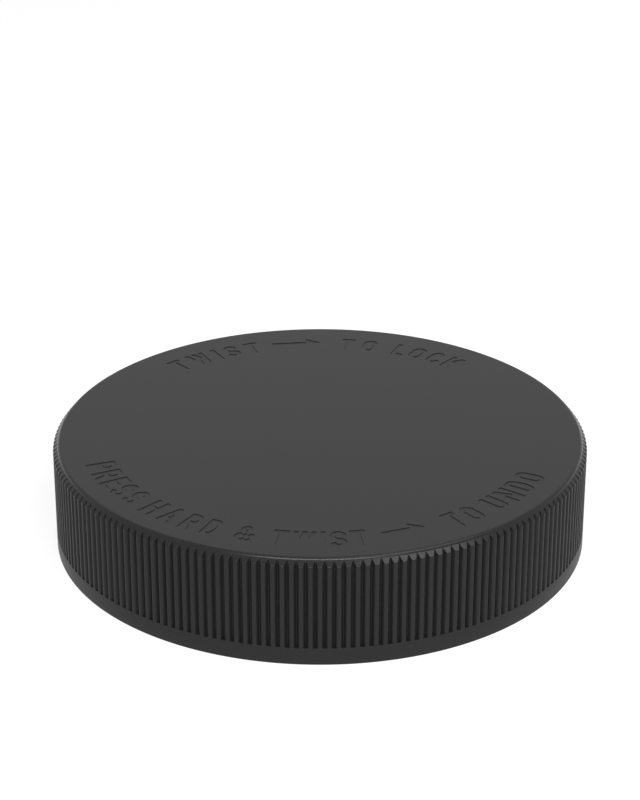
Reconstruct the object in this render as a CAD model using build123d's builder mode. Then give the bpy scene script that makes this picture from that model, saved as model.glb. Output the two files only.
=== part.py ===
"""Push-down-and-turn child-resistant cap for a wide jar neck.

Three pieces: a ribbed outer shell, a threaded inner cap that floats inside it, and the sealing liner.
Millimetres, +Z up, origin at the middle of the rim that the closed cap stands on.
Angles count from +X, counter-clockwise seen from above, which is the way the cap opens.
"""

import os

from build123d import *

# Neck that the cap fits: a wide 89 mm neck with a one-turn thread
bore_radius = 44.7
neck_depth = 11.0

# Liner and its undercut
liner_thickness = 1.0
liner_undercut = 0.5
liner_side_gap = 0.15
liner_seat_gap = 0.1

# Inner cap
inner_wall = 1.2
deck_wall = 1.2
deck_corner = 0.6
foot_chamfer = 0.2
bore_lead_in = 0.3

# How the inner cap floats in the shell
running_gap = 0.4
seat_gap = 0.15
press_travel = 1.5

# Drive lugs, one ring on each piece
lug_count = 24
lug_height = 1.3
lug_tip_gap = 0.4
lug_width = 4.0
lug_slope = 1.2
lug_length = 3.6
lug_setback = 0.7

# Spring fingers under the shell's top, drawn pressed, and the ratchet ramps below them
finger_count = 12
finger_inner_radius = 33.0
finger_width = 5.0
finger_length = 13.0
finger_root = 1.8
finger_thickness = 0.5
finger_relief = 0.15
finger_nose = 0.3
finger_clearance = 0.2
ramp_count = 24
ramp_height = 0.4
ramp_length = 5.0
ramp_side_margin = 0.2

# Shell walls and the bead that keeps the inner cap in
top_wall = 1.25
skirt_wall = 0.9
inside_corner = 0.5
bead_top = 2.2
bead_reach = 1.1
bead_land = 0.6
bead_edge = 0.2
mouth_flare = 1.0

# Outside of the shell: the top edge is eased in two flats and the foot edge in one
top_edge = 0.45
top_edge_middle = 0.13
foot_edge = 0.2
plain_edge_height = 0.12
band_height = 3.15

# Ribs: each narrows from its root in the plain wall to its crest, just inside the band's face
rib_count = 192
rib_stand = 0.78
rib_root_width = 1.47
rib_crest_width = 0.67
rib_step = 0.02

# How far one shape runs into another that it is moulded with
weld = 0.1

# Radii, from the neck outwards
pocket_radius = bore_radius + liner_undercut
liner_radius = pocket_radius - liner_side_gap
inner_cap_radius = bore_radius + inner_wall
skirt_inner_radius = inner_cap_radius + running_gap
plain_radius = skirt_inner_radius + skirt_wall
crest_radius = plain_radius + rib_stand
band_radius = crest_radius + rib_step
bead_radius = skirt_inner_radius - bead_reach
mouth_radius = bead_radius + mouth_flare
inner_lug_outer_radius = inner_cap_radius - lug_setback
lug_inner_radius = inner_lug_outer_radius - lug_length

# Heights, from the rim up
foot_z = bead_top + seat_gap
liner_z = foot_z + neck_depth
pocket_z = liner_z - liner_seat_gap
deck_under_z = liner_z + liner_thickness
deck_z = deck_under_z + deck_wall
top_under_z = deck_z + 2 * lug_height + lug_tip_gap
cap_height = top_under_z + top_wall
shell_lug_tip_z = top_under_z - lug_height
inner_lug_top_z = deck_z + lug_height
finger_tip_z = deck_z + press_travel + ramp_height + finger_clearance
plain_edge_z = cap_height - top_edge - plain_edge_height

lug_pitch = 360 / lug_count


def nearest_corner(sketch, x, y):
    """The corner of a sketch that lies nearest a point of its own plane."""
    return sketch.vertices().sort_by_distance((x, y))[0]


def upright(radius):
    """A plane across +X at a radius: its x is the opening direction and its y is up."""
    return Plane(origin=(radius, 0, 0), x_dir=(0, 1, 0), z_dir=(1, 0, 0))


# Shapes that repeat round the cap, each made once across +X

# A rib: it tapers to its crest and is cut back at its upper end
with BuildPart() as rib:
    with BuildSketch(Plane.XY.offset(band_height - weld)):
        Polygon(
            (plain_radius - weld, -rib_root_width / 2),
            (crest_radius, -rib_crest_width / 2),
            (crest_radius, rib_crest_width / 2),
            (plain_radius - weld, rib_root_width / 2),
            align=None,
        )
    extrude(amount=weld + plain_edge_z + weld / 2 - band_height)
    chamfer(rib.edges().sort_by_distance((crest_radius, 0, plain_edge_z))[0], rib_stand + weld / 2)

# A lug of the shell: upright face towards opening, slope behind it
with BuildPart() as shell_lug:
    with BuildSketch(upright(lug_inner_radius)):
        Polygon(
            (-lug_width / 2, top_under_z + weld),
            (lug_width / 2, top_under_z + weld),
            (lug_width / 2, shell_lug_tip_z),
            (-lug_width / 2 + lug_slope, shell_lug_tip_z),
            (-lug_width / 2, top_under_z),
            align=None,
        )
    extrude(amount=skirt_inner_radius + weld - lug_inner_radius)

# A lug of the inner cap: upright face towards closing, slope behind it
with BuildPart() as inner_lug:
    with BuildSketch(upright(lug_inner_radius)):
        Polygon(
            (-lug_width / 2, deck_z - weld),
            (lug_width / 2, deck_z - weld),
            (lug_width / 2, deck_z),
            (lug_width / 2 - lug_slope, inner_lug_top_z),
            (-lug_width / 2, inner_lug_top_z),
            align=None,
        )
    extrude(amount=lug_length)

# A spring finger: its root hangs from the top and its blade trails towards closing
with BuildPart() as finger:
    with BuildSketch(upright(finger_inner_radius)):
        Polygon(
            (0, top_under_z + weld),
            (-finger_root, top_under_z + weld),
            (-finger_root, top_under_z - finger_relief),
            (-finger_length, finger_tip_z + finger_thickness),
            (-finger_length, finger_tip_z + finger_nose),
            (-finger_length + finger_nose, finger_tip_z),
            (0, top_under_z - finger_relief - finger_thickness),
            align=None,
        )
    extrude(amount=finger_width)

# A ratchet ramp: a finger rides up it when the shell opens and catches behind it when the shell closes
with BuildPart() as ramp:
    with BuildSketch(upright(finger_inner_radius - ramp_side_margin)):
        Polygon(
            (-ramp_length, deck_z - weld),
            (0, deck_z - weld),
            (0, deck_z + ramp_height),
            (-ramp_length, deck_z),
            align=None,
        )
    extrude(amount=finger_width + 2 * ramp_side_margin)


# Outer shell: one moulding
with BuildPart() as outer_shell:
    # Turned form: top, plain wall, band and retaining bead
    with BuildSketch(Plane.XZ) as section:
        with BuildLine():
            Polyline(
                (0, top_under_z),
                (skirt_inner_radius, top_under_z),
                (skirt_inner_radius, bead_top),
                (bead_radius, bead_top),
                (bead_radius, bead_top - bead_land),
                (mouth_radius, 0),
                (band_radius, 0),
                (band_radius, band_height),
                (plain_radius, band_height),
                (plain_radius, cap_height - top_edge),
                (plain_radius - top_edge_middle, cap_height - top_edge_middle),
                (plain_radius - top_edge, cap_height),
                (0, cap_height),
                close=True,
            )
        make_face()
        chamfer(nearest_corner(section, skirt_inner_radius, top_under_z), inside_corner)
        chamfer(nearest_corner(section, bead_radius, bead_top), bead_edge)
        chamfer(nearest_corner(section, band_radius, 0), foot_edge)
    revolve(axis=Axis.Z)

    # Ribs, and under the top the drive lugs and spring fingers
    with PolarLocations(0, rib_count):
        add(rib.part)
    with PolarLocations(0, lug_count):
        add(shell_lug.part)
    with PolarLocations(0, finger_count):
        add(finger.part)


# Inner cap: one moulding, plain in its bore, with its lugs set between the shell's
with BuildPart() as inner_cap:
    with BuildSketch(Plane.XZ):
        with BuildLine():
            Polyline(
                (0, deck_under_z),
                (pocket_radius, deck_under_z),
                (pocket_radius, pocket_z),
                (bore_radius, pocket_z),
                (bore_radius, foot_z + bore_lead_in),
                (bore_radius + bore_lead_in, foot_z),
                (inner_cap_radius - foot_chamfer, foot_z),
                (inner_cap_radius, foot_z + foot_chamfer),
                (inner_cap_radius, deck_z - deck_corner),
                (inner_cap_radius - deck_corner, deck_z),
                (0, deck_z),
                close=True,
            )
        make_face()
    revolve(axis=Axis.Z)
    with PolarLocations(0, lug_count, start_angle=lug_pitch / 2):
        add(inner_lug.part)
    with PolarLocations(0, ramp_count):
        add(ramp.part)


# Liner: one round sheet that lies against the deck
with BuildPart() as liner:
    with BuildSketch(Plane.XY.offset(liner_z)):
        Circle(liner_radius)
    extrude(amount=liner_thickness)


os.makedirs("parts", exist_ok=True)
outer_shell.part.label = "outer_shell"
export_step(outer_shell.part, "parts/outer_shell.step")
inner_cap.part.label = "inner_cap"
export_step(inner_cap.part, "parts/inner_cap.step")
liner.part.label = "liner"
export_step(liner.part, "parts/liner.step")
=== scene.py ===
"""Looks of the child-resistant cap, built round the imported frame.

Sizes are millimetres, turned into metres where a mesh, lamp or camera is made. Bearings are degrees from -Y,
where the camera stands, towards +X, and the cap opens that way.
"""

import math

import bmesh
import bpy
import numpy as np
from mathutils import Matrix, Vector
from mathutils.geometry import delaunay_2d_cdt


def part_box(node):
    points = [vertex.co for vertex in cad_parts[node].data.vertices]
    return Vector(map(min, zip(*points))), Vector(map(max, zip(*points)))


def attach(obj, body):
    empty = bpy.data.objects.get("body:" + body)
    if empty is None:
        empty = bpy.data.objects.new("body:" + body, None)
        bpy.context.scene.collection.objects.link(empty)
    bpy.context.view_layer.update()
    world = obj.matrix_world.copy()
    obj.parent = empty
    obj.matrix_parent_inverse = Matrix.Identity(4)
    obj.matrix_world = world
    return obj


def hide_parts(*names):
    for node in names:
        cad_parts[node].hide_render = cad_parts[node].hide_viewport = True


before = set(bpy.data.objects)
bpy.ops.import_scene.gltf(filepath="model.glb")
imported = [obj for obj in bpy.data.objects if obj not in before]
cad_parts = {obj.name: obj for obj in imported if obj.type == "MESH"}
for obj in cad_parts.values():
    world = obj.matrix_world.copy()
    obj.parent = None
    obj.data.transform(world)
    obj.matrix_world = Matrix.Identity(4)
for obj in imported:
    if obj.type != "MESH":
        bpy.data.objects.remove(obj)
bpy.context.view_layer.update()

MM = 0.001

# Sizes read from the frame
band_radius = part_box("outer_shell")[1].x / MM
cap_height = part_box("outer_shell")[1].z / MM

# Outside of the shell
foot_edge_radius = 0.25
foot_edge_steps = 4
band_height = 3.15
band_edge = 0.03
rib_count = 192
rib_stand = 0.8

# The top's rounded edge, from the ribs up to the flat top. For each arc: its radius, the degrees above level
# that the surface faces where the arc starts and where it ends, and its steps
edge_arcs = (
    (0.3, 5, 27, 2),
    (1.2, 27, 36, 2),
    (0.62, 36, 62, 3),
    (0.6, 62, 90, 4),
)

# How far inside the rounded edge a level row of points stands, so that the flat top is shaded flat
top_support = 0.15

# Half a rib's section, from the middle of its crest to the middle of the groove: how far aside, how deep
half_rib = (
    (0.0, 0.0),
    (0.15, 0.004),
    (0.27, 0.03),
    (0.36, 0.09),
    (0.44, 0.2),
    (0.65, 0.66),
    (0.71, 0.755),
    (math.pi * band_radius / rib_count, 0.78),
)

# The eased edge between a rib's crest and the slope that ends it, in steps inwards and down times the ease
rib_end_ease = 0.04
rib_end_steps = ((0, 1.8), (0, 0.8), (0.25, 0.25), (0.8, 0), (1.8, 0))

# Edges of the shell that turn by more than this many degrees stay sharp
shell_smooth_angle = 22

# Inside of the shell
top_wall = 1.25
skirt_inner_radius = 46.3
inside_corner = 0.5
bead_radius = 45.2
bead_top = 2.2
bead_land = 0.6
bead_edge = 0.2
mouth_radius = 46.2
inner_columns = 384

# Drive lugs and spring fingers, as in the solids
lug_count = 24
lug_width = 4.0
lug_slope = 1.2
lug_height = 1.3
lug_inner_radius = 41.6
finger_count = 12
finger_inner_radius = 33.0
finger_width = 5.0
finger_length = 13.0
finger_root = 1.8
finger_thickness = 0.5
finger_relief = 0.15
finger_tip_z = 17.65
weld = 0.1

# Thread in the bore: a right-handed turn and a bit
bore_radius = 44.7
thread_crest_radius = 43.5
thread_pitch = 5.08
thread_turns = 1.25
thread_foot_width = 2.5
thread_crest_width = 1.0
thread_start_z = 4.6
thread_run_out = 14.0
thread_step = 2.0
thread_root = 0.05
thread_smooth_angle = 30

# Sunk operating words and arrows on the top, with letters drawn in even strokes
letter_depth = 0.1
letter_stroke = 0.85
letter_curve_steps = 10
same_point = 1e-9
front_baseline_radius = 43.3
front_letter_height = 5.3
front_words = (
    ("PRESS", -72.0, -48.8),
    ("HARD", -45.6, -24.2),
    ("&", -20.2, -15.2),
    ("TWIST", -11.2, 11.0),
    ("TO", 31.8, 41.0),
    ("UNDO", 45.1, 65.5),
)
front_arrow = (14.8, 25.8)
back_baseline_radius = 37.2
back_letter_height = 4.9
back_words = (
    ("TWIST", 224.5, 197.5),
    ("TO", 174.0, 163.8),
    ("LOCK", 158.6, 138.0),
)
back_arrow = (193.5, 180.0)
arrow_radius = 39.9
arrow_stroke = 1.0
arrow_head_length = 2.6
arrow_head_half_width = 1.9

# How the flat top is cut into triangles: only inside its edge, and with points this close made one
inside_only = 1
weld_distance = 1e-6

# Finishes: two tones of each colour, roughness and gloss
shell_tones = ((0.0105, 0.0105, 0.0108), (0.0116, 0.0116, 0.0119))
shell_gloss = 0.17
skirt_roughness = 0.46
edge_roughness = 0.23
top_roughness = 0.38
inner_tones = ((0.0110, 0.0110, 0.0113), (0.0125, 0.0125, 0.0128))
inner_gloss = 0.3
inner_roughness = 0.34
plastic_ior = 1.49
foam_tones = ((0.78, 0.78, 0.755), (0.75, 0.75, 0.722))
foam_roughness = 0.72

# Heights where the skirt's roughness ends and the flat top's begins, and how far each takes to change
skirt_finish_z = 18.2
top_finish_z = 19.58
finish_blend = 0.12

# Noise: cells to a metre and detail, and the span that most of its values fill. Bumps: height in metres
# and strength
noise_span = (0.3, 0.7)
cloud_noise = (60, 3)
grain_noise = (5200, 2)
grain_bump = (0.00001, 0.3)
flow_noise = (420, 2)
flow_bump = (0.00002, 0.05)
foam_cloud_noise = (150, 4)
foam_cells_a_metre = 2600
foam_cell_bump = (0.00006, 0.5)
foam_wave_noise = (260, 2)
foam_wave_bump = (0.0001, 0.25)

# Camera, found from the photograph's perspective
camera_place = (0.0, -388.8, 207.9)
camera_pitch = 25.058
camera_lens = 107.73
camera_sensor = 36
camera_clip = (0.01, 20)

# Floor and world. The floor's share of its shade and its glow add up to white where no shadow falls
floor_width = 6
floor_colour = 0.8
floor_share = 0.25
floor_glow = 0.8
world_strength = 0.3

# Lamps, all turned to the origin: place and size, and power in watts
softboxes = (
    ("front_softbox", (0, -671, 436), (900, 480), 2.7),
    ("edge_light", (-14, -647, 470), (560, 60), 4.1),
    ("right_softbox", (350, -245, 676), (430, 430), 3.0),
    ("high_softbox", (0, 330, 730), (300, 300), 0.5),
    ("under_softbox", (0, 0, -600), (600, 600), 3),
)


def mesh_object(name, points, faces, smooth_angle):
    """A new object from points in millimetres; edges sharper than smooth_angle degrees stay sharp."""
    mesh = bpy.data.meshes.new(name)
    mesh.from_pydata((np.asarray(points) * MM).tolist(), [], faces)
    builder = bmesh.new()
    builder.from_mesh(mesh)
    bmesh.ops.recalc_face_normals(builder, faces=builder.faces)
    builder.to_mesh(mesh)
    builder.free()
    mesh.shade_smooth()
    mesh.set_sharp_from_angle(angle=math.radians(smooth_angle))
    piece = bpy.data.objects.new(name, mesh)
    bpy.context.scene.collection.objects.link(piece)
    return piece


def strips(first, rows, columns):
    """Quads between closed rows of points that were added one after another."""
    faces = []
    for row in range(rows - 1):
        low = first + row * columns
        high = low + columns
        for i in range(columns):
            j = (i + 1) % columns
            faces.append((low + i, low + j, high + j, high + i))
    return faces


def ring(radii, heights, angles):
    """A closed row of points; radii and heights are one number or one for each angle."""
    radii = np.broadcast_to(radii, angles.shape)
    heights = np.broadcast_to(heights, angles.shape)
    return np.stack([radii * np.cos(angles), radii * np.sin(angles), heights], 1)


def quarter(start_degrees, steps):
    """Cosine and sine along a quarter turn, both ends included."""
    turn = np.radians(np.linspace(start_degrees, start_degrees + 90, steps + 1))
    return list(zip(np.cos(turn), np.sin(turn)))


def prism(outline, start, end, place):
    """A closed prism: outline in the plane across the radius, drawn from one radius to another."""
    count = len(outline)
    points = [place(radius, across, up) for radius in (start, end) for across, up in outline]
    faces = [tuple(range(count)), tuple(range(count, 2 * count))]
    for i in range(count):
        j = (i + 1) % count
        faces.append((i, j, count + j, count + i))
    return points, faces


def turned_place(degrees):
    """Places radius, opening direction and height at a turn about the cap's axis."""
    cosine, sine = math.cos(math.radians(degrees)), math.sin(math.radians(degrees))

    def place(radius, across, up):
        return (radius * cosine - across * sine, radius * sine + across * cosine, up)

    return place


def rib_columns():
    """Angles of the columns round the ribbed skirt, and the depth below the crests at each."""
    aside = [u for u, depth in half_rib]
    deep = [depth for u, depth in half_rib]
    one_rib = [-u for u in aside[-2:0:-1]] + aside
    one_depth = deep[-2:0:-1] + deep
    pitch = 2 * math.pi / rib_count
    angles = np.array([k * pitch + u / band_radius for k in range(rib_count) for u in one_rib])
    return angles, np.tile(one_depth, rib_count)


def edge_profile(outer_radius):
    """Radius and height along the top's rounded edge, from the ribs up and in to the flat top."""
    points = [(0.0, 0.0)]
    for radius, start, end, steps in edge_arcs:
        r, z = points[-1]
        turns = np.radians(np.linspace(start, end, steps + 1))
        for turn in turns[1:]:
            along = radius * (math.cos(turn) - math.cos(turns[0]))
            points.append((r + along, z + radius * (math.sin(turn) - math.sin(turns[0]))))
    rise = points[-1][1]
    points.append((points[-1][0] - top_support, rise))
    return [(outer_radius + r, cap_height - rise + z) for r, z in points]


def shell_outside(angles, depth):
    """Closed rows from the flat rim up over band, ribs and rounded edge to the flat top.

    Returns the rows, and the numbers of the first and last row of the ribs' eased upper ends.
    """
    plain_radius = band_radius - rib_stand
    rounded = edge_profile(plain_radius)
    plain_edge_z = rounded[0][1]
    rows = []
    for cosine, sine in quarter(-90, foot_edge_steps):
        radius = band_radius - foot_edge_radius + foot_edge_radius * cosine
        rows.append(ring(radius, foot_edge_radius + foot_edge_radius * sine, angles))
    surface = band_radius - depth
    rows.append(ring(band_radius, band_height - band_edge, angles))
    rows.append(ring(band_radius - np.minimum(depth, band_edge), band_height, angles))
    rows.append(ring(surface, band_height + band_edge, angles))
    # Each rib ends in a slope of 45 degrees, with its edge eased
    slope_z = plain_edge_z + plain_radius
    first_end = len(rows)
    for inward, down in rib_end_steps:
        radius = np.maximum(surface - inward * rib_end_ease, plain_radius)
        rows.append(ring(radius, slope_z - radius - down * rib_end_ease, angles))
    last_end = len(rows) - 1
    rows += [ring(radius, z, angles) for radius, z in rounded]
    return rows, (first_end, last_end)


def shell_inside(angles):
    """Closed rows from the mouth in over the retaining bead and up the skirt to the top's underside."""
    top_under_z = cap_height - top_wall
    section = (
        (mouth_radius, 0),
        (bead_radius, bead_top - bead_land),
        (bead_radius, bead_top - bead_edge),
        (bead_radius + bead_edge, bead_top),
        (skirt_inner_radius, bead_top),
        (skirt_inner_radius, top_under_z - inside_corner),
        (skirt_inner_radius - inside_corner, top_under_z),
    )
    return [ring(radius, z, angles) for radius, z in section]


def lugs_and_fingers():
    """Closed prisms for what hangs under the top: drive lugs and spring fingers."""
    top_under_z = cap_height - top_wall
    half = lug_width / 2
    lug = (
        (-half, top_under_z + weld),
        (half, top_under_z + weld),
        (half, top_under_z - lug_height),
        (-half + lug_slope, top_under_z - lug_height),
        (-half, top_under_z),
    )
    finger = (
        (0, top_under_z + weld),
        (-finger_root, top_under_z + weld),
        (-finger_root, top_under_z - finger_relief),
        (-finger_length, finger_tip_z + finger_thickness),
        (-finger_length, finger_tip_z),
        (0, top_under_z - finger_relief - finger_thickness),
    )
    made = []
    for k in range(lug_count):
        place = turned_place(k * 360 / lug_count)
        made.append(prism(lug, lug_inner_radius, skirt_inner_radius + weld, place))
    for k in range(finger_count):
        place = turned_place(k * 360 / finger_count)
        made.append(prism(finger, finger_inner_radius, finger_inner_radius + finger_width, place))
    return made


def joined(parts):
    """One list of points and one of faces from several."""
    points, faces = [], []
    for part_points, part_faces in parts:
        first = len(points)
        points.extend(part_points)
        faces.extend(tuple(first + i for i in face) for face in part_faces)
    return points, faces


def soften(piece, first, last):
    """Shades smoothly across every edge whose points are numbered from first up to, but not with, last."""
    mesh = piece.data
    ends = np.empty(len(mesh.edges) * 2, int)
    mesh.edges.foreach_get("vertices", ends)
    inside = ((ends >= first) & (ends < last)).reshape(-1, 2).all(1)
    sharp = mesh.attributes["sharp_edge"].data
    flags = np.empty(len(sharp), bool)
    sharp.foreach_get("value", flags)
    sharp.foreach_set("value", flags & ~inside)


def make_shell():
    """The outer shell as one fine closed skin."""
    angles, depth = rib_columns()
    outside, (first_end, last_end) = shell_outside(angles, depth)
    columns = len(angles)
    per_inner = columns // inner_columns
    inside = shell_inside(angles[::per_inner])
    top_points, top_faces = make_top(outside[-1])
    points = np.concatenate(inside + outside + [top_points])
    outer_first = len(inside) * inner_columns
    top_first = outer_first + (len(outside) - 1) * columns
    faces = strips(outer_first, len(outside), columns)
    faces += [tuple(top_first + i for i in face) for face in top_faces]
    faces += strips(0, len(inside), inner_columns)
    # The flat rim joins both sets of columns
    for i in range(inner_columns):
        outer = [outer_first + (i * per_inner + k) % columns for k in range(per_inner + 1)]
        inner = [(i + 1) % inner_columns, i]
        faces.append(tuple(outer + inner))
    # The underside of the top closes the inner columns' last row
    faces.append(tuple(range(outer_first - inner_columns, outer_first)))
    points, faces = joined([(points.tolist(), faces)] + lugs_and_fingers())
    shell = mesh_object("shell_skin", points, faces, shell_smooth_angle)
    soften(shell, outer_first + first_end * columns, outer_first + (last_end + 1) * columns)
    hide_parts("outer_shell")
    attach(shell, "outer_shell")
    return shell


def bow(centre, reach, start, end):
    """Points along part of an ellipse, from one angle in degrees to another."""
    turns = np.radians(np.linspace(start, end, letter_curve_steps + 1))
    return [(centre[0] + reach[0] * math.cos(t), centre[1] + reach[1] * math.sin(t)) for t in turns]


def bowl(low, high):
    """The round side of a letter such as D, from its stem out and back."""
    middle, half = (low + high) / 2, (high - low) / 2
    return [(0, high)] + bow((0.5, middle), (0.5, half), 90, -90) + [(0, low)]


# Round parts of letters, in a letter's box from 0 to 1 both ways
round_top = bow((0.5, 0.72), (0.5, 0.28), 0, 180)
round_foot = bow((0.5, 0.28), (0.5, 0.28), 180, 360)
hook_top = bow((0.5, 0.74), (0.5, 0.26), 25, 270)
hook_foot = bow((0.5, 0.24), (0.5, 0.24), 90, -155)

# Each letter's width, and its strokes' middle lines in its box
letters = {
    "A": (3.1, [[(0, 0), (0.5, 1)], [(1, 0), (0.5, 1)], [(0.2, 0.25), (0.8, 0.25)]]),
    "C": (2.7, [bow((0.5, 0.72), (0.5, 0.28), 20, 180) + bow((0.5, 0.28), (0.5, 0.28), 180, 340)]),
    "D": (2.7, [[(0, 0), (0, 1)], bowl(0, 1)]),
    "E": (2.4, [[(0, 0), (0, 1)], [(0, 1), (1, 1)], [(0, 0.5), (0.9, 0.5)], [(0, 0), (1, 0)]]),
    "H": (2.8, [[(0, 0), (0, 1)], [(1, 0), (1, 1)], [(0, 0.5), (1, 0.5)]]),
    "I": (letter_stroke, [[(0.5, 0), (0.5, 1)]]),
    "K": (2.9, [[(0, 0), (0, 1)], [(0, 0.35), (1, 1)], [(0.3, 0.55), (1, 0)]]),
    "L": (2.3, [[(0, 0), (0, 1)], [(0, 0), (1, 0)]]),
    "N": (2.9, [[(0, 0), (0, 1)], [(0, 1), (1, 0)], [(1, 0), (1, 1)]]),
    "O": (2.8, [round_top + round_foot + [(1, 0.72)]]),
    "P": (2.7, [[(0, 0), (0, 1)], bowl(0.46, 1)]),
    "R": (2.8, [[(0, 0), (0, 1)], bowl(0.46, 1), [(0.5, 0.46), (1, 0)]]),
    "S": (2.7, [hook_top + hook_foot[1:]]),
    "T": (2.6, [[(0, 1), (1, 1)], [(0.5, 0), (0.5, 1)]]),
    "U": (2.8, [[(0, 1)] + round_foot + [(1, 1)]]),
    "W": (3.9, [
        [(0, 1), (0.25, 0)],
        [(0.25, 0), (0.5, 1)],
        [(0.5, 1), (0.75, 0)],
        [(0.75, 0), (1, 1)],
    ]),
    "&": (3.2, [
        [(1, 0), (0.22, 0.7)]
        + bow((0.42, 0.8), (0.24, 0.2), 180, -20)
        + bow((0.36, 0.24), (0.36, 0.24), 120, 300)
        + [(1, 0.45)],
    ]),
}


def straight_stroke(start, end, half):
    """A straight stroke, cut level at both ends, or upright where it lies level."""
    (x0, y0), (x1, y1) = start, end
    if y0 == y1:
        return np.array([
            (x0 - half, y0 - half),
            (x1 + half, y0 - half),
            (x1 + half, y0 + half),
            (x0 - half, y0 + half),
        ])
    aside = half * math.hypot(x1 - x0, y1 - y0) / abs(y1 - y0)
    past = half if y1 > y0 else -half
    return np.array([
        (x0 - aside, y0 - past),
        (x0 + aside, y0 - past),
        (x1 + aside, y1 + past),
        (x1 - aside, y1 + past),
    ])


def curved_stroke(line, half):
    """A stroke along a line of many points, with mitred corners and square ends."""
    line = np.array(line)
    line = line[np.append(True, np.abs(np.diff(line, axis=0)).sum(1) > same_point)]
    closed = np.allclose(line[0], line[-1])
    along = np.diff(line, axis=0)
    along /= np.linalg.norm(along, axis=1)[:, None]
    before = np.vstack([along[-1] if closed else along[0], along])
    after = np.vstack([along, along[0] if closed else along[-1]])
    left = (before + after)[:, ::-1] * (-1, 1) / (1 + (before * after).sum(1))[:, None]
    if not closed:
        line[0] -= along[0] * half
        line[-1] += along[-1] * half
    return np.vstack([line + left * half, (line - left * half)[::-1]])


def letter_outlines(letter, height):
    """Outlines of one letter's strokes, in millimetres from its lower left corner, and its width."""
    width, strokes = letters[letter]
    half = letter_stroke / 2
    across, up = width - letter_stroke, height - letter_stroke
    made = []
    for stroke in strokes:
        line = [(half + x * across, half + y * up) for x, y in stroke]
        made.append(straight_stroke(*line, half) if len(line) == 2 else curved_stroke(line, half))
    return made, width


def on_arc(points, bearing, baseline_radius, middle, tops_in):
    """Moves flat points to a bearing on the top, with letter tops towards the middle or away from it."""
    turn = math.radians(bearing)
    sign = 1 if tops_in else -1
    along = np.array([math.cos(turn), math.sin(turn)]) * sign
    upwards = np.array([-math.sin(turn), math.cos(turn)]) * sign
    centre = np.array([math.sin(turn), -math.cos(turn)]) * baseline_radius
    return centre + np.outer(points[:, 0] - middle, along) + np.outer(points[:, 1], upwards)


def word_outlines(word, start, end, baseline_radius, height, tops_in):
    """Outlines of one word, with even gaps between two bearings."""
    drawn = [letter_outlines(letter, height) for letter in word]
    middle_radius = baseline_radius + (-height if tops_in else height) / 2
    room = math.radians(abs(end - start)) * middle_radius
    gap = (room - sum(width for loops, width in drawn)) / max(len(word) - 1, 1)
    direction = 1 if end > start else -1
    reach = 0 if len(word) > 1 else gap / 2
    made = []
    for loops, width in drawn:
        bearing = start + direction * math.degrees((reach + width / 2) / middle_radius)
        made += [on_arc(loop, bearing, baseline_radius, width / 2, tops_in) for loop in loops]
        reach += width + gap
    return made


def arrow_outline(start, end, tops_in):
    """A plain solid arrow that points from one bearing to the other."""
    half = math.radians(abs(end - start)) * arrow_radius / 2
    neck = half - arrow_head_length
    side = arrow_stroke / 2
    points = np.array([
        (-half, -side),
        (neck, -side),
        (neck, -arrow_head_half_width),
        (half, 0),
        (neck, arrow_head_half_width),
        (neck, side),
        (-half, side),
    ])
    return on_arc(points, (start + end) / 2, arrow_radius, 0, tops_in)


def all_outlines():
    """Every outline that is sunk into the top."""
    made = []
    for word, start, end in front_words:
        made += word_outlines(word, start, end, front_baseline_radius, front_letter_height, True)
    for word, start, end in back_words:
        made += word_outlines(word, start, end, back_baseline_radius, back_letter_height, False)
    made.append(arrow_outline(*front_arrow, True))
    made.append(arrow_outline(*back_arrow, False))
    return made


def is_sunk(places, loops):
    """Whether each place lies inside any of the outlines, by counting the edges to its right."""
    sunk = np.zeros(len(places), bool)
    for loop in loops:
        inside = np.zeros(len(places), bool)
        for (x0, y0), (x1, y1) in zip(loop, np.roll(loop, -1, 0)):
            spans = (places[:, 1] < y0) != (places[:, 1] < y1)
            if spans.any():
                crossing = x0 + (places[:, 1] - y0) * (x1 - x0) / (y1 - y0 + (y1 == y0))
                inside ^= spans & (places[:, 0] < crossing)
        sunk |= inside
    return sunk


def make_top(edge_row):
    """The flat top inside its edge row, with the outlines sunk into it.

    Returns points after those of the edge row, and faces that count the edge row's points first.
    """
    loops = all_outlines()
    flat = np.concatenate([edge_row[:, :2]] + loops)
    edge_count = len(edge_row)
    edges = []
    first = 0
    for loop in [edge_row] + loops:
        count = len(loop)
        edges += [(first + i, first + (i + 1) % count) for i in range(count)]
        first += count
    corners = [Vector(p) for p in flat.tolist()]
    solved = delaunay_2d_cdt(corners, edges, [], inside_only, weld_distance)
    spots = np.array([tuple(p) for p in solved[0]])
    triangles, sources = solved[2], solved[3]
    # The edge row's points keep their numbers, the others follow in the solver's order
    order = {}
    inner_spots = []
    for i, came_from in enumerate(sources):
        if came_from and came_from[0] < edge_count:
            order[i] = came_from[0]
        else:
            order[i] = edge_count + len(inner_spots)
            inner_spots.append(spots[i])
    lowered = len(inner_spots)
    high = np.column_stack([inner_spots, np.full(lowered, cap_height)])
    faces = []
    border = {}
    for triangle, sunk in zip(triangles, is_sunk(spots[np.array(triangles)].mean(1), loops)):
        numbers = [order[i] for i in triangle]
        faces.append(tuple(i + lowered for i in numbers) if sunk else tuple(numbers))
        for a, b in zip(numbers, numbers[1:] + numbers[:1]):
            border.setdefault((min(a, b), max(a, b)), []).append(sunk)
    # A wall stands where a sunk face meets one that isn't
    for (a, b), sides in border.items():
        if len(sides) == 2 and sides[0] != sides[1]:
            faces.append((a, b, b + lowered, a + lowered))
    return np.concatenate([high, high - (0, 0, letter_depth)]), faces


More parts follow.
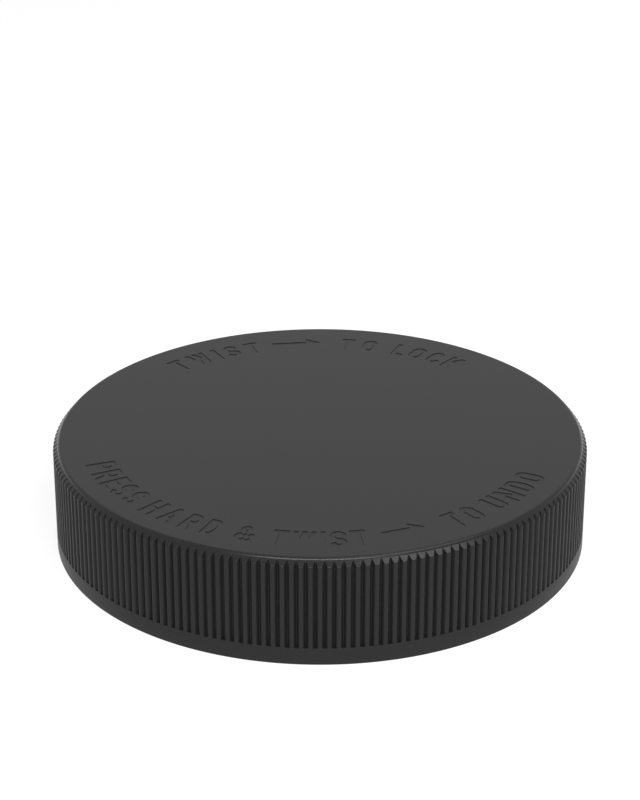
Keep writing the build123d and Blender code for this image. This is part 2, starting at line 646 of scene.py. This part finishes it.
def make_thread():
    """The bore's thread: a trapezoid swept up a right-handed helix, with both ends run out into the wall."""
    steps = int(360 * thread_turns / thread_step)
    points = []
    for i in range(steps + 1):
        degrees = i * thread_step
        from_end = min(degrees, 360 * thread_turns - degrees)
        share = min(1, from_end / thread_run_out)
        crest = bore_radius - (bore_radius - thread_crest_radius) * math.sin(share * math.pi / 2)
        z = thread_start_z + thread_pitch * degrees / 360
        place = turned_place(degrees)
        section = (
            (bore_radius + thread_root, -thread_foot_width / 2),
            (crest, -thread_crest_width / 2),
            (crest, thread_crest_width / 2),
            (bore_radius + thread_root, thread_foot_width / 2),
        )
        points.extend(place(radius, 0, z + up) for radius, up in section)
    corners = len(section)
    faces = [tuple(range(corners)), tuple(range(len(points) - corners, len(points)))]
    for i in range(steps):
        for k in range(corners):
            a, b = i * corners + k, i * corners + (k + 1) % corners
            faces.append((a, b, b + corners, a + corners))
    thread = mesh_object("neck_thread", points, faces, thread_smooth_angle)
    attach(thread, "inner_cap")
    return thread


def node_material(name):
    """A new material with its tree, its principled shader and the place on the object."""
    material = bpy.data.materials.new(name)
    material.use_nodes = True
    tree = material.node_tree
    place = tree.nodes.new("ShaderNodeTexCoord").outputs["Object"]
    return material, tree, tree.nodes["Principled BSDF"], place


def add_noise(tree, place, noise):
    """Noise of a given scale and detail."""
    scale, detail = noise
    node = tree.nodes.new("ShaderNodeTexNoise")
    node.inputs["Scale"].default_value = scale
    node.inputs["Detail"].default_value = detail
    tree.links.new(place, node.inputs["Vector"])
    return node.outputs["Fac"]


def add_range(tree, value, source, target):
    """Maps one span of a value to another."""
    remap = tree.nodes.new("ShaderNodeMapRange")
    remap.inputs["From Min"].default_value, remap.inputs["From Max"].default_value = source
    remap.inputs["To Min"].default_value, remap.inputs["To Max"].default_value = target
    tree.links.new(value, remap.inputs["Value"])
    return remap.outputs["Result"]


def add_bump(tree, height, bump, before=None):
    """A bump of a given height and strength, on top of one that was made before."""
    distance, strength = bump
    node = tree.nodes.new("ShaderNodeBump")
    node.inputs["Distance"].default_value = distance
    node.inputs["Strength"].default_value = strength
    tree.links.new(height, node.inputs["Height"])
    if before is not None:
        tree.links.new(before, node.inputs["Normal"])
    return node.outputs["Normal"]


def add_tones(tree, shader, factor, tones):
    """Colours a shader between two tones."""
    blend = tree.nodes.new("ShaderNodeMix")
    blend.data_type = "RGBA"
    blend.inputs["A"].default_value = (*tones[0], 1)
    blend.inputs["B"].default_value = (*tones[1], 1)
    tree.links.new(factor, blend.inputs["Factor"])
    tree.links.new(blend.outputs["Result"], shader.inputs["Base Color"])


def moulded_plastic(name, tones, roughness, gloss):
    """Black polypropylene as it leaves the mould: faint clouds of tone, fine grain and a slight wave."""
    material, tree, shader, place = node_material(name)
    add_tones(tree, shader, add_noise(tree, place, cloud_noise), tones)
    grain = add_bump(tree, add_noise(tree, place, grain_noise), grain_bump)
    flow = add_bump(tree, add_noise(tree, place, flow_noise), flow_bump, grain)
    tree.links.new(flow, shader.inputs["Normal"])
    shader.inputs["Roughness"].default_value = roughness
    shader.inputs["IOR"].default_value = plastic_ior
    shader.inputs["Specular IOR Level"].default_value = gloss
    return material


def shell_plastic(name):
    """Moulded plastic, with its own roughness on the skirt, the top's rounded edge and the flat top."""
    material = moulded_plastic(name, shell_tones, edge_roughness, shell_gloss)
    tree = material.node_tree
    place = tree.nodes.new("ShaderNodeTexCoord").outputs["Object"]
    split = tree.nodes.new("ShaderNodeSeparateXYZ")
    tree.links.new(place, split.inputs[0])
    skirt_end = (skirt_finish_z * MM, (skirt_finish_z + finish_blend) * MM)
    top_start = (top_finish_z * MM, (top_finish_z + finish_blend) * MM)
    skirt = add_range(tree, split.outputs["Z"], skirt_end, (skirt_roughness, 0))
    above = add_range(tree, split.outputs["Z"], top_start, (edge_roughness, top_roughness))
    rougher = tree.nodes.new("ShaderNodeMath")
    rougher.operation = "MAXIMUM"
    tree.links.new(skirt, rougher.inputs[0])
    tree.links.new(above, rougher.inputs[1])
    tree.links.new(rougher.outputs[0], tree.nodes["Principled BSDF"].inputs["Roughness"])
    return material


def foam_sheet(name):
    """Off-white foam: fine closed cells and a slight wave."""
    material, tree, shader, place = node_material(name)
    clouds = add_range(tree, add_noise(tree, place, foam_cloud_noise), noise_span, (0, 1))
    add_tones(tree, shader, clouds, foam_tones)
    cells = tree.nodes.new("ShaderNodeTexVoronoi")
    cells.inputs["Scale"].default_value = foam_cells_a_metre
    tree.links.new(place, cells.inputs["Vector"])
    fine = add_bump(tree, cells.outputs["Distance"], foam_cell_bump)
    wave = add_bump(tree, add_noise(tree, place, foam_wave_noise), foam_wave_bump, fine)
    tree.links.new(wave, shader.inputs["Normal"])
    shader.inputs["Roughness"].default_value = foam_roughness
    return material


def dress(node, material):
    """Gives a CAD node's object a material in every slot."""
    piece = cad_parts[node]
    if not piece.data.materials:
        piece.data.materials.append(material)
    for slot in piece.material_slots:
        slot.material = material


def add_shown(tree):
    """One where the camera looks, directly or in a reflection or through glass."""
    path = tree.nodes.new("ShaderNodeLightPath")
    shown = path.outputs["Is Camera Ray"]
    for ray in ("Is Glossy Ray", "Is Transmission Ray"):
        either = tree.nodes.new("ShaderNodeMath")
        either.operation = "MAXIMUM"
        tree.links.new(shown, either.inputs[0])
        tree.links.new(path.outputs[ray], either.inputs[1])
        shown = either.outputs[0]
    return shown


def make_floor():
    """A pale floor that shows white and keeps the cap's shadow; seen from below it is clear."""
    bpy.ops.mesh.primitive_plane_add(size=floor_width)
    floor = bpy.context.object
    floor.name = "floor"
    material = bpy.data.materials.new("pale_floor")
    material.use_nodes = True
    tree = material.node_tree
    tree.nodes.clear()
    new, link = tree.nodes.new, tree.links.new
    path = new("ShaderNodeLightPath")
    plain = new("ShaderNodeBsdfDiffuse")
    plain.inputs["Color"].default_value = (floor_colour, floor_colour, floor_colour, 1)
    shaded = new("ShaderNodeBsdfDiffuse")
    shaded.inputs["Color"].default_value = (floor_share, floor_share, floor_share, 1)
    glow = new("ShaderNodeEmission")
    glow.inputs["Color"].default_value = (floor_glow, floor_glow, floor_glow, 1)
    white = new("ShaderNodeAddShader")
    link(shaded.outputs[0], white.inputs[0])
    link(glow.outputs[0], white.inputs[1])
    seen = new("ShaderNodeMixShader")
    link(add_shown(tree), seen.inputs[0])
    link(plain.outputs[0], seen.inputs[1])
    link(white.outputs[0], seen.inputs[2])
    clear = new("ShaderNodeBsdfTransparent")
    side = new("ShaderNodeNewGeometry")
    through = new("ShaderNodeMath")
    through.operation = "MAXIMUM"
    link(side.outputs["Backfacing"], through.inputs[0])
    link(path.outputs["Is Shadow Ray"], through.inputs[1])
    whole = new("ShaderNodeMixShader")
    link(through.outputs[0], whole.inputs[0])
    link(seen.outputs[0], whole.inputs[1])
    link(clear.outputs[0], whole.inputs[2])
    link(whole.outputs[0], new("ShaderNodeOutputMaterial").inputs["Surface"])
    floor.data.materials.append(material)


def make_world():
    """A dim even surround that shows white to the camera and in reflections."""
    world = bpy.data.worlds.new("surround")
    bpy.context.scene.world = world
    world.use_nodes = True
    tree = world.node_tree
    tree.nodes.clear()
    new, link = tree.nodes.new, tree.links.new
    shown = add_shown(tree)
    dim = new("ShaderNodeBackground")
    dim.inputs["Color"].default_value = (1, 1, 1, 1)
    dim.inputs["Strength"].default_value = world_strength
    white = new("ShaderNodeBackground")
    white.inputs["Color"].default_value = (1, 1, 1, 1)
    white.inputs["Strength"].default_value = 1
    mix = new("ShaderNodeMixShader")
    link(shown, mix.inputs[0])
    link(dim.outputs[0], mix.inputs[1])
    link(white.outputs[0], mix.inputs[2])
    link(mix.outputs[0], new("ShaderNodeOutputWorld").inputs["Surface"])


def softbox(name, place, size, power):
    """A rectangular area lamp at a place, turned to the origin."""
    lamp = bpy.data.lights.new(name, "AREA")
    lamp.shape = "RECTANGLE"
    lamp.size, lamp.size_y = size[0] * MM, size[1] * MM
    lamp.energy = power
    holder = bpy.data.objects.new(name, lamp)
    holder.location = Vector(place) * MM
    holder.rotation_euler = Vector(place).to_track_quat("Z", "Y").to_euler()
    bpy.context.scene.collection.objects.link(holder)


def make_camera():
    """The camera at the photograph's place, looking down over the front edge."""
    camera = bpy.data.cameras.new("camera")
    camera.sensor_width = camera_sensor
    camera.lens = camera_lens
    camera.clip_start, camera.clip_end = camera_clip
    holder = bpy.data.objects.new("camera", camera)
    holder.location = Vector(camera_place) * MM
    holder.rotation_euler = (math.radians(90 - camera_pitch), 0, 0)
    bpy.context.scene.collection.objects.link(holder)
    bpy.context.scene.camera = holder


shell_black = shell_plastic("shell_black")
inner_black = moulded_plastic("inner_black", inner_tones, inner_roughness, inner_gloss)
liner_white = foam_sheet("liner_white")

make_shell().data.materials.append(shell_black)
make_thread().data.materials.append(inner_black)
dress("outer_shell", shell_black)
dress("inner_cap", inner_black)
dress("liner", liner_white)

make_camera()
make_floor()
make_world()
for lamp in softboxes:
    softbox(*lamp)
bpy.context.scene.view_settings.view_transform = "Standard"
